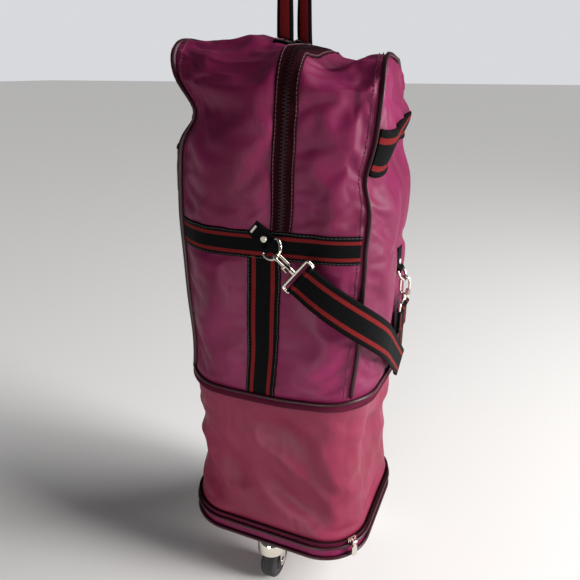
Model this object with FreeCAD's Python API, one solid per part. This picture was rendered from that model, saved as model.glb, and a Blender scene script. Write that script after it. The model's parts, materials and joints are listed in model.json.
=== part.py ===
import FreeCAD, Part
import math
import os

from FreeCAD import Vector

# Tall expandable soft bag on three wheels, modelled as the pieces that it comes apart into.
# Millimetres. +Z is up and Z = 0 is the floor, -Y is the front and +X the bag's right side.
# The origin is on the floor, under the middle of the bag.

# Bag: plan section and fabric. A rise is a height above the underside of the bag.
bag_width = 248.0
bag_depth = 226.0
corner_radius = 62.0
bag_rise = 608.0
top_fillet = 40.0
panel_thickness = 2.4
seam_inset = 18.0

# Clearances
sewn_gap = 0.3
zip_gap = 0.8
slide_gap = 0.3
bore_gap = 0.05
loop_gap = 0.3

# Base tray
bottom_thickness = 3.0
board_thickness = 6.0
board_inset = 3.4
band_height = 19.0
band_thickness = 3.0
piping_radius = 3.0
piping_margin = 1.4

# Expansion zipper, its gusset and the ring where the upper part starts
zip_tape_height = 5.2
zip_tape_thickness = 1.2
zip_teeth_height = 1.2
zip_teeth_depth = 2.6
ring_rise = 217.6
gusset_thickness = 1.6
gusset_inset = 3.3
gusset_overlap = 8.8

# Main zipper
main_zip_x = 19.0
main_zip_width = 24.0
main_teeth_width = 6.0
main_teeth_thickness = 1.4

# Webbing
webbing_thickness = 2.0
webbing_width = 38.0
waist_rise = 400.0
waist_width = 32.0
vertical_webbing_x = 1.0
side_webbing_rise = 506.0

# Top handle
handle_x = -3.0
handle_width = 18.0
handle_thickness = 4.6
handle_foot_spacing = 84.0
handle_height = 98.0
anchor_length = 34.0
anchor_thickness = 2.4

# Rings, tabs and snap hooks
wire_radius = 1.75
ring_half_width = 12.5
ring_depth = 15.0
tab_wall = 1.6
tab_thickness = 2.4
tab_length = 28.0
tab_side_gap = 0.7
tab_rivet_radius = 4.0
tab_rivet_height = 1.6
crimp_length = 2.4
crimp_half_width = 5.0
crimp_height = 1.0
front_ring_x = 18.0
front_ring_rise = 418.0
front_ring_angle = 40.0
front_ring_tilt = 20.0
rear_ring_y = 22.0
rear_ring_rise = 362.0
hook_loop_radius = 5.6
hook_nose = 1.7
hook_gate_length = 9.9
gate_radius = 1.4
gate_gap = 0.3
swivel_radius = 3.0
swivel_length = 5.0
eye_half_width = 21.5
eye_corner = 2.2
eye_length = 8.5

# Shoulder strap
strap_width = 38.0
strap_thickness = 2.4
strap_corner_drop = 99.0
strap_half_height = 24.5
strap_side_slope = 0.723
strap_low_rise = 216.0

# Casters
front_caster_y = -88.0
front_wheel_radius = 25.0
front_wheel_width = 22.0
front_trail = 8.0
plate_size = 46.0
plate_thickness = 2.0
plate_corner = 4.0
kingpin_radius = 4.0
kingpin_head = 2.5
kingpin_reach = 6.0
swivel_gap = 0.8
neck_radius = 12.5
neck_length = 10.0
hood_radius = 19.5
hood_flare = 12.0
hood_skirt = 10.0
hood_wheel_gap = 2.0
sheet_thickness = 1.6
axle_radius = 3.0
axle_head = 1.6
axle_head_length = 1.2
cheek_gap = 1.2
caster_cheek_width = 26.0
caster_cheek_foot = 7.5
bracket_cheek_width = 34.0
bracket_cheek_foot = 9.0
rear_wheel_x = 78.0
rear_wheel_y = 72.0
rear_wheel_radius = 30.0
rear_wheel_width = 24.0
bracket_length = 44.0
bracket_margin = 11.0
rivet_inset = 6.0
rivet_radius = 2.0
rivet_head_radius = 3.6
rivet_head_height = 1.2
tyre_depth = 8.0
hub_boss_radius = 7.0
hub_web_width = 8.0

# Sliders and pulls
slider_width = 12.0
slider_height = 15.0
slider_thickness = 2.5
slider_rise = 456.0
pull_length = 30.0
pull_width = 8.0
pull_thickness = 1.6
pull_pin_radius = 0.8
pull_lug = 1.5
pull_eye_radius = 2.1
lug_half_depth = 1.4
lug_half_height = 2.0
expansion_slider_angle = 55.0
expansion_slider_half_angle = 5.5
expansion_pull_length = 22.0

# Worked out from the sizes above
hood_low = 2 * front_wheel_radius + hood_wheel_gap
hood_shoulder = hood_low + hood_skirt
neck_low = hood_shoulder + hood_flare
rim_bottom = neck_low + neck_length
bag_top = rim_bottom + bag_rise
ring_height = rim_bottom + ring_rise
waist_low = rim_bottom + waist_rise
side_webbing_low = rim_bottom + side_webbing_rise
front_ring_z = rim_bottom + front_ring_rise
rear_ring_z = rim_bottom + rear_ring_rise
strap_low = rim_bottom + strap_low_rise
slider_z = rim_bottom + slider_rise
half_width = bag_width / 2
half_depth = bag_depth / 2
straight_x = half_width - corner_radius
straight_y = half_depth - corner_radius
seam_x = half_width - seam_inset
waist_half_length = seam_x - piping_radius - 1.0
side_webbing_start = seam_x + piping_radius + zip_gap
ring_corner = ring_depth - ring_half_width
tab_half_width = ring_half_width - ring_corner - tab_side_gap
board_low = rim_bottom + bottom_thickness
board_top = board_low + board_thickness
band_top = board_low + band_height
lower_tape_low = band_top + sewn_gap
lower_tape_top = lower_tape_low + zip_tape_height
lower_teeth_top = lower_tape_top + zip_teeth_height
upper_tape_low = ring_height + zip_teeth_height
panel_low = upper_tape_low + zip_tape_height + sewn_gap
ring_piping_z = panel_low + piping_radius
waist_top = waist_low + waist_width
main_zip_low = waist_top + 2 * sewn_gap
tube_radius = wire_radius + loop_gap + tab_wall
front_bar_lift = sewn_gap + webbing_thickness + sewn_gap + tube_radius
rear_bar_lift = sewn_gap + tube_radius
strap_lift = front_bar_lift + ring_depth * math.sin(math.radians(front_ring_tilt))
rear_ring_tilt = math.degrees(math.asin((strap_lift - rear_bar_lift) / ring_depth))
hook_reach = 2 * wire_radius + loop_gap
loop_near = hook_loop_radius - hook_reach
gate_tip = loop_near + hook_nose
gate_pivot = gate_tip + hook_gate_length
swivel_start = gate_pivot + hook_loop_radius
eye_near = swivel_start + swivel_length + wire_radius
eye_far = eye_near + eye_length
handle_pivot_z = bag_top + sewn_gap + anchor_thickness + sewn_gap + handle_width / 2
main_tape_lift = sewn_gap
main_teeth_lift = main_tape_lift + zip_tape_thickness
main_slider_lift = main_teeth_lift + main_teeth_thickness + slide_gap
pull_stand_off = slider_thickness + pull_eye_radius + slide_gap
wheel_bore_radius = axle_radius + bore_gap
bracket_width = rear_wheel_width + 2 * (cheek_gap + plate_thickness + bracket_margin)


def outline(grow, z):
    """Closed rounded rectangle, the bag's plan section grown outwards by grow, at height z."""
    x, y = half_width + grow, half_depth + grow
    r = corner_radius + grow
    edges = []
    for turn in range(4):
        a, b = (x, y) if turn % 2 == 0 else (y, x)
        line = Part.LineSegment(Vector(a, -(b - r), 0), Vector(a, b - r, 0)).toShape()
        k = r * math.sqrt(0.5)
        mid = Vector(a - r + k, b - r + k, 0)
        arc = Part.Arc(Vector(a, b - r, 0), mid, Vector(a - r, b, 0)).toShape()
        for edge in (line, arc):
            edge.rotate(Vector(0, 0, 0), Vector(0, 0, 1), 90 * turn)
            edge.translate(Vector(0, 0, z))
            edges.append(edge)
    return Part.Wire(edges)


def prism(grow, low, high):
    return Part.Face(outline(grow, low)).extrude(Vector(0, 0, high - low))


def wall(grow, thickness, low, high):
    """Upright wall round the bag, with its outer face grown outwards by grow."""
    return prism(grow, low, high).cut(prism(grow - thickness, low - 1, high + 1))


def box(low, high):
    size = Vector(*high) - Vector(*low)
    return Part.makeBox(size.x, size.y, size.z, Vector(*low))


def cylinder(radius, start, end):
    line = Vector(*end) - Vector(*start)
    return Part.makeCylinder(radius, line.Length, Vector(*start), line)


def polygon(points, push):
    """Flat outline through points, extruded by push."""
    corners = [Vector(*p) for p in points]
    return Part.Face(Part.makePolygon(corners + corners[:1])).extrude(Vector(*push))


def sweep(path, start, direction, radius):
    circle = Part.Wire(Part.makeCircle(radius, Vector(*start), Vector(*direction)))
    return path.makePipeShell([circle], True, True)


def piping_ring(z):
    centre_grow = piping_radius + sewn_gap
    start = (half_width + centre_grow, -straight_y, z)
    return sweep(outline(centre_grow, z), start, (0, 1, 0), piping_radius)


def over_top(x, y, top, radius, low):
    """Open path in a plane of constant X: up the front, over the top and down the back."""
    k = radius * (1 - math.sqrt(0.5))
    front = Part.LineSegment(Vector(x, -y, low), Vector(x, -y, top - radius))
    bend = Part.Arc(Vector(x, -y, top - radius), Vector(x, -y + k, top - k), Vector(x, -y + radius, top))
    across = Part.LineSegment(Vector(x, -y + radius, top), Vector(x, y - radius, top))
    fall = Part.Arc(Vector(x, y - radius, top), Vector(x, y - k, top - k), Vector(x, y, top - radius))
    back = Part.LineSegment(Vector(x, y, top - radius), Vector(x, y, low))
    return Part.Wire([piece.toShape() for piece in (front, bend, across, fall, back)])


def girth_strip(x, width, lift, thickness, low):
    """Strip of that width and thickness lying on the front, top and back, lift above them."""
    sides = [
        over_top(x - width / 2, half_depth + d, bag_top + d, top_fillet + d, low)
        for d in (lift, lift + thickness)
    ]
    ends = [
        Part.LineSegment(Vector(x - width / 2, y + s, low), Vector(x - width / 2, y + t, low)).toShape()
        for y, s, t in (
            (-half_depth, -lift, -lift - thickness),
            (half_depth, lift, lift + thickness),
        )
    ]
    edges = sides[0].Edges + sides[1].Edges + ends
    face = Part.Face(Part.Wire(Part.sortEdges(edges)[0]))
    return face.extrude(Vector(width, 0, 0))


def placed(shape, origin, along, outward):
    """Puts a shape made with X along, Z outward and its origin at 0 into its place."""
    u = Vector(*along).normalize()
    w = Vector(*outward).normalize()
    v = w.cross(u)
    o = Vector(*origin)
    matrix = FreeCAD.Matrix(u.x, v.x, w.x, o.x, u.y, v.y, w.y, o.y, u.z, v.z, w.z, o.z, 0, 0, 0, 1)
    moved = shape.copy()
    moved.Placement = FreeCAD.Placement(matrix)
    return moved


# Base tray


def bottom_panel():
    return prism(0, rim_bottom, board_low)


def base_board():
    return prism(-board_inset, board_low, board_top)


def base_band():
    return wall(0, band_thickness, board_low, band_top)


def lower_zip_tape():
    return wall(0, zip_tape_thickness, lower_tape_low, lower_tape_top)


def lower_zip_teeth():
    return wall(0, zip_teeth_depth, lower_tape_top, lower_teeth_top)


def expansion_gusset():
    return wall(-gusset_inset, gusset_thickness, board_top + sewn_gap, panel_low + gusset_overlap)


# Casters


def mounting_plate(x, y, size_x, size_y, holes):
    """Steel plate under the base with four rivet holes and, on a caster, the kingpin's hole."""
    low = rim_bottom - plate_thickness
    plate = box((x - size_x / 2, y - size_y / 2, low), (x + size_x / 2, y + size_y / 2, rim_bottom))
    corners = [edge for edge in plate.Edges if abs(edge.BoundBox.ZLength - plate_thickness) < 1e-6]
    plate = plate.makeFillet(plate_corner, corners)
    for hx, hy, radius in holes:
        plate = plate.cut(cylinder(radius, (hx, hy, low - 1), (hx, hy, rim_bottom + 1)))
    return plate


def rivet_places(x, y, size_x, size_y):
    dx, dy = size_x / 2 - rivet_inset, size_y / 2 - rivet_inset
    return [(x + i * dx, y + j * dy) for i in (-1, 1) for j in (-1, 1)]


def rivets(places):
    low = rim_bottom - plate_thickness
    made = []
    for x, y in places:
        shank = cylinder(rivet_radius, (x, y, low), (x, y, rim_bottom))
        head = cylinder(rivet_head_radius, (x, y, low - rivet_head_height), (x, y, low))
        head = head.makeFillet(0.7, [e for e in head.Edges if e.BoundBox.ZMax < low - 1])
        made.append(shank.fuse(head).removeSplitter())
    return Part.makeCompound(made)


def rivet_holes(places):
    return [(x, y, rivet_radius + bore_gap) for x, y in places]


def caster_plate():
    holes = rivet_holes(rivet_places(0, front_caster_y, plate_size, plate_size))
    holes.append((0, front_caster_y, kingpin_radius + loop_gap))
    return mounting_plate(0, front_caster_y, plate_size, plate_size, holes)


def kingpin():
    y = front_caster_y
    low = neck_low - kingpin_reach
    pin = cylinder(kingpin_radius, (0, y, low), (0, y, rim_bottom - 2 * sewn_gap))
    head = cylinder(kingpin_radius + kingpin_head, (0, y, low - kingpin_head), (0, y, low))
    return pin.fuse(head).removeSplitter()


def cheek(x, y, axle_z, top, top_width, foot_radius, thickness):
    """Upright side plate of a fork, with a round foot and a hole for the axle."""
    foot = cylinder(foot_radius, (x, y, axle_z), (x + thickness, y, axle_z))
    points = [
        (x, y - foot_radius, axle_z),
        (x, y + foot_radius, axle_z),
        (x, y + top_width / 2, top),
        (x, y - top_width / 2, top),
    ]
    plate = foot.fuse(polygon(points, (thickness, 0, 0)))
    return plate.cut(cylinder(wheel_bore_radius, (x - 1, y, axle_z), (x + thickness + 1, y, axle_z)))


def caster_hood():
    """Pressed hood: neck, flared dome and two cheeks that carry the axle."""
    top = rim_bottom - plate_thickness - swivel_gap
    mid_radius = neck_radius + 0.62 * (hood_radius - neck_radius)
    shoulder_mid = Vector(mid_radius, 0, 0.72 * neck_low + 0.28 * hood_shoulder)

    def profile(inset, lid, low):
        r_neck, r_hood = neck_radius - inset, hood_radius - inset
        points = [Vector(0, 0, low), Vector(r_hood, 0, low), Vector(r_hood, 0, hood_shoulder)]
        bend = Part.Arc(
            points[2], shoulder_mid - Vector(inset, 0, 0.7 * inset), Vector(r_neck, 0, neck_low - inset)
        )
        rest = [Vector(r_neck, 0, neck_low - inset)]
        rest += [Vector(r_neck, 0, top - lid), Vector(0, 0, top - lid)]
        edges = [Part.LineSegment(a, b).toShape() for a, b in zip(points, points[1:])]
        edges.append(bend.toShape())
        edges += [Part.LineSegment(a, b).toShape() for a, b in zip(rest, rest[1:])]
        edges.append(Part.LineSegment(rest[-1], points[0]).toShape())
        return Part.Face(Part.Wire(edges)).revolve(Vector(0, 0, 0), Vector(0, 0, 1), 360)

    outer = profile(0, 0, hood_low)
    shell = outer.cut(profile(sheet_thickness, 2 * sheet_thickness, hood_low - 1))
    reach = hood_radius + front_trail
    below = box((-hood_radius, -reach, 0), (hood_radius, reach, hood_low))
    envelope = profile(0.5, 2, hood_low - 1).fuse(below)
    inner = front_wheel_width / 2 + cheek_gap
    for x in (inner, -inner - sheet_thickness):
        foot, width = caster_cheek_foot, caster_cheek_width
        plate = cheek(x, front_trail, front_wheel_radius, neck_low + 4, width, foot, sheet_thickness)
        shell = shell.fuse(plate.common(envelope))
    shell = shell.cut(cylinder(kingpin_radius + bore_gap, (0, 0, hood_low), (0, 0, rim_bottom)))
    shell.translate(Vector(0, front_caster_y, 0))
    return shell.removeSplitter()


def axle(x, y, z, half_length):
    pin = cylinder(axle_radius, (x - half_length, y, z), (x + half_length, y, z))
    for side in (-1, 1):
        start = x + side * half_length
        end = start + side * axle_head_length
        pin = pin.fuse(cylinder(axle_radius + axle_head, (start, y, z), (end, y, z)))
    return pin.removeSplitter()


def revolved(points, centre):
    """Ring from an outline of (distance along X, radius) points, turned about the X axis."""
    corners = [Vector(a, 0, r) for a, r in points]
    face = Part.Face(Part.makePolygon(corners + corners[:1]))
    ring = face.revolve(Vector(0, 0, 0), Vector(1, 0, 0), 360)
    ring.translate(Vector(*centre))
    return ring


def wheel_hub(centre, radius, width):
    rim = radius - tyre_depth
    half, web = width / 2, hub_web_width / 2
    boss = half + cheek_gap - 0.3
    points = [
        (-boss, wheel_bore_radius),
        (boss, wheel_bore_radius),
        (boss, hub_boss_radius),
        (web, hub_boss_radius + 1),
        (web, rim - 3),
        (half - 1, rim - 2),
        (half - 1, rim),
        (1 - half, rim),
        (1 - half, rim - 2),
        (-web, rim - 3),
        (-web, hub_boss_radius + 1),
        (-boss, hub_boss_radius),
    ]
    return revolved(points, centre)


def tyre(centre, radius, width):
    inner, half = radius - tyre_depth + bore_gap, width / 2
    ring = revolved([(-half, inner), (half, inner), (half, radius), (-half, radius)], centre)
    shoulders = [
        e for e in ring.Edges if abs(e.BoundBox.ZLength - 2 * radius) < 1e-3 and e.BoundBox.XLength < 1e-3
    ]
    return ring.makeFillet(5.0, shoulders)


def bracket(side):
    """U-shaped rear bracket: a plate with two cheeks."""
    x, y = side * rear_wheel_x, rear_wheel_y
    inner = rear_wheel_width / 2 + cheek_gap
    holes = rivet_holes(rivet_places(x, y, bracket_width, bracket_length))
    made = mounting_plate(x, y, bracket_width, bracket_length, holes)
    low = rim_bottom - plate_thickness
    for start in (x + inner, x - inner - plate_thickness):
        foot, width = bracket_cheek_foot, bracket_cheek_width
        made = made.fuse(cheek(start, y, rear_wheel_radius, low + 1, width, foot, plate_thickness))
    return made.removeSplitter()


def bracket_rivet_places():
    return [
        place
        for side in (-1, 1)
        for place in rivet_places(side * rear_wheel_x, rear_wheel_y, bracket_width, bracket_length)
    ]


# Upper part of the bag


def upper_shell():
    """Hollow shell of all the upper panels together, open at the bottom."""

    def solid(inset, low):
        block = prism(-inset, low, bag_top - inset)
        rim = [e for e in block.Edges if e.BoundBox.ZMin > bag_top - inset - 1e-6]
        return block.makeFillet(top_fillet - inset, rim)

    return solid(0, panel_low).cut(solid(panel_thickness, panel_low - 20))


def panel(shell, x_low, x_high):
    return shell.common(box((x_low, -half_depth - 1, 0), (x_high, half_depth + 1, bag_top + 1)))


def seam_corner():
    """Where the seam's plane cuts the bag: half depth, top height and bend radius."""
    y = straight_y + math.sqrt(corner_radius**2 - (seam_x - straight_x) ** 2)
    side = seam_x - (half_width - top_fillet)
    z = bag_top - top_fillet + math.sqrt(top_fillet**2 - side**2)
    bend = 0.95 * ((y - straight_y) + (z - bag_top + top_fillet)) / 2
    return y, z, bend


def edge_piping(side):
    y, top, bend = seam_corner()
    lift = piping_radius + piping_margin + 0.5
    low = ring_piping_z + 2 * piping_radius + sewn_gap
    path = over_top(side * seam_x, y + lift, top + lift, bend + lift, low)
    return sweep(path, (side * seam_x, -y - lift, low), (0, 0, 1), piping_radius)


def main_zip_tape():
    return girth_strip(main_zip_x, main_zip_width, main_tape_lift, zip_tape_thickness, main_zip_low)


def main_zip_teeth():
    low = main_zip_low + 2
    return girth_strip(main_zip_x, main_teeth_width, main_teeth_lift, main_teeth_thickness, low)


def waist_webbing():
    band = wall(sewn_gap + webbing_thickness, webbing_thickness, waist_low, waist_top)
    reach = half_depth + 10
    return band.common(box((-waist_half_length, -reach, 0), (waist_half_length, 0, bag_top)))


def vertical_webbing():
    low = ring_piping_z + piping_radius + sewn_gap
    y = -half_depth - sewn_gap
    x = vertical_webbing_x
    high = waist_low - sewn_gap
    return box((x - webbing_width / 2, y - webbing_thickness, low), (x + webbing_width / 2, y, high))


def side_webbing(side):
    band = wall(
        sewn_gap + webbing_thickness, webbing_thickness, side_webbing_low, side_webbing_low + webbing_width
    )
    reach = half_width + 10
    low, high = sorted((side * side_webbing_start, side * reach))
    return band.common(box((low, -half_depth, 0), (high, half_depth, bag_top)))


def handle_anchors():
    low = bag_top + sewn_gap
    patches = []
    for side in (-1, 1):
        y = side * handle_foot_spacing / 2
        patches.append(
            box(
                (handle_x - handle_width / 2, y - anchor_length / 2, low),
                (handle_x + handle_width / 2, y + anchor_length / 2, low + anchor_thickness),
            )
        )
    return Part.makeCompound(patches)


def top_handle():
    """Folded webbing loop with rounded feet, which tips to either side about its feet."""
    half = handle_foot_spacing / 2
    crown = bag_top + handle_height - handle_thickness / 2
    low = handle_pivot_z

    def arch(radius_change):
        y = half + radius_change
        top = crown + radius_change
        return over_top(handle_x - handle_width / 2, y, top, y - 1.0, low)

    t = handle_thickness / 2
    inner, outer = arch(-t), arch(t)
    x = handle_x - handle_width / 2
    ends = []
    for s in (-1, 1):
        foot = Part.LineSegment(Vector(x, s * (half - t), low), Vector(x, s * (half + t), low))
        ends.append(foot.toShape())
    face = Part.Face(Part.Wire(Part.sortEdges(inner.Edges + outer.Edges + ends)[0]))
    handle = face.extrude(Vector(handle_width, 0, 0))
    for s in (-1, 1):
        y = s * half
        handle = handle.fuse(cylinder(handle_width / 2, (handle_x, y - t, low), (handle_x, y + t, low)))
    return handle.removeSplitter()


# Rings, tabs, hooks and the strap. Each is made with X along its hanging line and Z outwards.


def lifted(tilt):
    return FreeCAD.Rotation(Vector(0, 1, 0), -tilt)


def ring_wire(near, far, half, corner):
    """Rounded rectangle from near to far along X, and half to each side."""
    k = corner * (1 - math.sqrt(0.5))
    edges = []
    start = Vector(near, -half + corner, 0)
    corners = [(near, half, -1, 1), (far, half, 1, 1), (far, -half, 1, -1), (near, -half, -1, -1)]
    for index, (x, y, sx, sy) in enumerate(corners):
        turn_in_y = index % 2 == 0
        first = Vector(x, y - sy * corner, 0) if turn_in_y else Vector(x - sx * corner, y, 0)
        last = Vector(x - sx * corner, y, 0) if turn_in_y else Vector(x, y - sy * corner, 0)
        if (first - start).Length > 1e-6:
            edges.append(Part.LineSegment(start, first).toShape())
        edges.append(Part.Arc(first, Vector(x - sx * k, y - sy * k, 0), last).toShape())
        start = last
    return Part.Wire(edges)


def d_ring():
    """Ring bent from wire, with a straight bar at X = 0 and a round end."""
    a, c = ring_half_width, ring_corner
    k = c * (1 - math.sqrt(0.5))
    pieces = [
        Part.LineSegment(Vector(0, -a + c, 0), Vector(0, a - c, 0)),
        Part.Arc(Vector(0, a - c, 0), Vector(k, a - k, 0), Vector(c, a, 0)),
        Part.Arc(Vector(c, a, 0), Vector(ring_depth, 0, 0), Vector(c, -a, 0)),
        Part.Arc(Vector(c, -a, 0), Vector(k, -a + k, 0), Vector(0, -a + c, 0)),
    ]
    path = Part.Wire([piece.toShape() for piece in pieces])
    return sweep(path, (0, 0, 0), (0, 1, 0), wire_radius)


def ring_tab():
    """Webbing tab sewn to the bag, with a loop round the ring's bar."""
    top = tab_thickness - tube_radius
    plate = box((-tab_length, -tab_half_width, -tube_radius), (0, tab_half_width, top))
    tube = cylinder(tube_radius, (0, -tab_half_width, 0), (0, tab_half_width, 0))
    hole = cylinder(wire_radius + loop_gap, (0, -tab_half_width - 1, 0), (0, tab_half_width + 1, 0))
    return plate.fuse(tube).cut(hole).removeSplitter()


def tab_rivet():
    x = -tube_radius - tab_rivet_radius - 2.0
    low = tab_thickness - tube_radius
    head = cylinder(tab_rivet_radius, (x, 0, low), (x, 0, low + tab_rivet_height))
    return head.makeFillet(1.2, [e for e in head.Edges if e.BoundBox.ZMin > low + 1])


def tab_crimp():
    x = 2.0 - tab_length
    low = tab_thickness - tube_radius
    return box((x, -crimp_half_width, low), (x + crimp_length, crimp_half_width, low + crimp_height))


def snap_hook():
    """Hook, swivel and strap eye in one, with the gate's opening on its outer side."""
    r = hook_loop_radius
    k = r * math.sqrt(0.5)
    pieces = [
        Part.LineSegment(Vector(gate_tip - gate_gap, 0, r), Vector(loop_near, 0, r)),
        Part.Arc(Vector(loop_near, 0, r), Vector(loop_near - r, 0, 0), Vector(loop_near, 0, -r)),
        Part.LineSegment(Vector(loop_near, 0, -r), Vector(gate_pivot, 0, -r)),
        Part.Arc(Vector(gate_pivot, 0, -r), Vector(gate_pivot + k, 0, -k), Vector(gate_pivot + r, 0, 0)),
    ]
    path = Part.Wire([piece.toShape() for piece in pieces])
    hook = sweep(path, (gate_tip - gate_gap, 0, r), (-1, 0, 0), wire_radius)
    ear = gate_pivot + gate_radius + gate_gap + 0.2
    upper = Part.Arc(
        Vector(gate_pivot + r, 0, 0),
        Vector(gate_pivot + 0.94 * r, 0, 0.34 * r),
        Vector(gate_pivot + 0.77 * r, 0, 0.64 * r),
    )
    hook = hook.fuse(sweep(Part.Wire([upper.toShape()]), (gate_pivot + r, 0, 0), (0, 0, 1), wire_radius))
    for y in (-1, 1):
        cheek_low, cheek_high = sorted((y * (gate_radius + 0.2), y * (gate_radius + 1.3)))
        lug = box((ear - 3.6, cheek_low, 0.3 * r), (gate_pivot + r, cheek_high, r + gate_radius))
        hook = hook.fuse(lug)
    hook = hook.fuse(cylinder(swivel_radius, (swivel_start - 1, 0, 0), (eye_near, 0, 0)))
    eye = ring_wire(eye_near, eye_far, eye_half_width, eye_corner)
    start = (eye_near, -eye_half_width + eye_corner, 0)
    hook = hook.fuse(sweep(eye, start, (0, 1, 0), wire_radius))
    pivot = cylinder(0.65, (gate_pivot, -gate_radius - 1, r), (gate_pivot, gate_radius + 1, r))
    return hook.fuse(pivot)


def hook_gate():
    r = hook_loop_radius
    rod = cylinder(gate_radius, (gate_tip, 0, r), (gate_pivot, 0, r))
    end = cylinder(gate_radius, (gate_pivot, -gate_radius, r), (gate_pivot, gate_radius, r))
    hole = cylinder(0.7, (gate_pivot, -5, r), (gate_pivot, 5, r))
    return rod.fuse(end).cut(hole).removeSplitter()


def front_place():
    angle = math.radians(front_ring_angle)
    along = Vector(math.cos(angle), 0, -math.sin(angle))
    return (front_ring_x, -half_depth - front_bar_lift, front_ring_z), along, (0, -1, 0)


def rear_place():
    return (half_width + rear_bar_lift, rear_ring_y, rear_ring_z), Vector(0, 0, -1), (1, 0, 0)


def contact(place, tilt):
    """Middle of the wire at the ring's far end, where the hook hangs."""
    origin, along, outward = place
    reach = ring_depth * math.cos(math.radians(tilt))
    lift = ring_depth * math.sin(math.radians(tilt))
    return Vector(*origin) + Vector(*along) * reach + Vector(*outward) * lift


def ring_in_place(place, tilt):
    ring = d_ring()
    ring.Placement = FreeCAD.Placement(Vector(0, 0, 0), lifted(tilt))
    holder = Part.makeCompound([ring])
    return placed(holder, *place).Solids[0]


def shoulder_strap():
    """Flat webbing from hook to hook, round the front right corner, with a low fold at the side."""
    front_end = contact(front_place(), front_ring_tilt) + front_place()[1] * eye_far
    rear_end = contact(rear_place(), rear_ring_tilt) + rear_place()[1] * eye_far
    lift = strap_lift - strap_thickness / 2
    t = strap_thickness
    along = front_place()[1]
    slope = -along.z / along.x
    corner_z = front_end.z - slope * (straight_x - front_end.x)
    side_z = corner_z - strap_corner_drop
    h, y0 = strap_half_height, -half_depth - lift

    start_x = front_end.x - strap_width / 2
    start_z = corner_z + slope * (straight_x - start_x)
    front_points = [
        (start_x, y0, start_z + h),
        (straight_x, y0, corner_z + h),
        (straight_x, y0, corner_z - h),
        (start_x, y0, start_z - h),
    ]
    strap = polygon(front_points, (0, -t, 0))

    centre = Vector(straight_x, -straight_y, 0)
    radius = corner_radius + lift + t
    k = math.sqrt(0.5)
    band = [(-k * radius, corner_z), (k * radius, side_z)]
    ramp_points = [(s * k, s * k, z + h) for s, z in band]
    ramp_points += [(s * k, s * k, z - h) for s, z in reversed(band)]
    ramp = polygon(ramp_points, (2 * radius, -2 * radius, 0))
    ramp.translate(centre)
    tube = cylinder(radius, (centre.x, centre.y, 0), (centre.x, centre.y, bag_top))
    tube = tube.cut(cylinder(radius - t, (centre.x, centre.y, -1), (centre.x, centre.y, bag_top + 1)))
    quarter = box((centre.x, centre.y - 2 * radius, 0), (centre.x + 2 * radius, centre.y, bag_top))
    strap = strap.fuse(tube.common(quarter).common(ramp))
    beyond = box((-2 * strap_width, -strap_width, -2 * t), (0, strap_width, 2 * t))
    strap = strap.cut(placed(beyond, front_end, along, front_place()[2]))

    y1, x1 = -straight_y, half_width + lift
    left, right = rear_end.y - strap_width / 2, rear_end.y + strap_width / 2
    fall = side_z - strap_side_slope * (left - y1)
    side_points = [
        (x1, y1, side_z + h),
        (x1, left, fall + h),
        (x1, left, rear_end.z),
        (x1, right, rear_end.z),
        (x1, right, strap_low + 22.0),
        (x1, right - 10.0, strap_low + 4.0),
        (x1, right - 24.0, strap_low),
        (x1, left, fall - h),
        (x1, y1, side_z - h),
    ]
    strap = strap.fuse(polygon(side_points, (t, 0, 0)))

    for end, place in ((front_end, front_place()), (rear_end, rear_place())):
        half = strap_width / 2
        loop = cylinder(tube_radius, (0, -half, 0), (0, half, 0))
        hole = cylinder(wire_radius + loop_gap, (0, -half - 1, 0), (0, half + 1, 0))
        strap = strap.fuse(placed(loop, end, place[1], place[2]))
        strap = strap.cut(placed(hole, end, place[1], place[2]))
    return strap.removeSplitter()


# Zipper sliders and their pulls. Made with X across, -Z down the pull and Y towards the bag.


def slider_lugs(face_y, z):
    """Two lugs and the pin between them, which the pull hangs from."""
    pin_y = face_y - pull_eye_radius - slide_gap
    inner = pull_width / 4 + slide_gap
    made = cylinder(pull_pin_radius, (-inner - pull_lug, pin_y, z), (inner + pull_lug, pin_y, z))
    for x in (-inner - pull_lug, inner):
        low, high = z - lug_half_height, z + lug_half_height
        made = made.fuse(box((x, pin_y - lug_half_depth, low), (x + pull_lug, face_y, high)))
    return made


def pull_tag(pin_y, z, length):
    neck = pull_width / 4
    eye = cylinder(pull_eye_radius, (-neck, pin_y, z), (neck, pin_y, z))
    t = pull_thickness / 2
    eye = eye.fuse(box((-neck, pin_y - t, z - 8.0), (neck, pin_y + t, z)))
    eye = eye.cut(cylinder(pull_pin_radius + 0.1, (-9, pin_y, z), (9, pin_y, z)))
    tag = box((-pull_width / 2, pin_y - t, z - length), (pull_width / 2, pin_y + t, z - 6.0))
    sides = [e for e in tag.Edges if abs(e.BoundBox.YLength - pull_thickness) < 1e-6]
    return eye.fuse(tag.makeFillet(2.4, sides)).removeSplitter()


def behind(shape):
    """Turns a piece made for the front so that it sits on the back, on the main zipper."""
    shape.rotate(Vector(0, 0, 0), Vector(0, 0, 1), 180)
    shape.translate(Vector(main_zip_x, 0, 0))
    return shape


def main_slider():
    face = -half_depth - main_slider_lift
    half = slider_width / 2
    low = slider_z - slider_height / 2
    plate = box((-half, face - slider_thickness, low), (half, face, low + slider_height))
    sides = [e for e in plate.Edges if abs(e.BoundBox.YLength - slider_thickness) < 1e-6]
    plate = plate.makeFillet(3.0, sides)
    return behind(plate.fuse(slider_lugs(face - slider_thickness, slider_z)).removeSplitter())


def main_pull():
    pin_y = -half_depth - main_slider_lift - pull_stand_off
    return behind(pull_tag(pin_y, slider_z, pull_length))


def on_corner(shape):
    """Turns a piece made about the front's middle line to its place round the right front corner."""
    shape.rotate(Vector(0, 0, 0), Vector(0, 0, 1), expansion_slider_angle)
    shape.translate(Vector(straight_x, -straight_y, 0))
    return shape


def expansion_low():
    return band_top + 0.4


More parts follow.
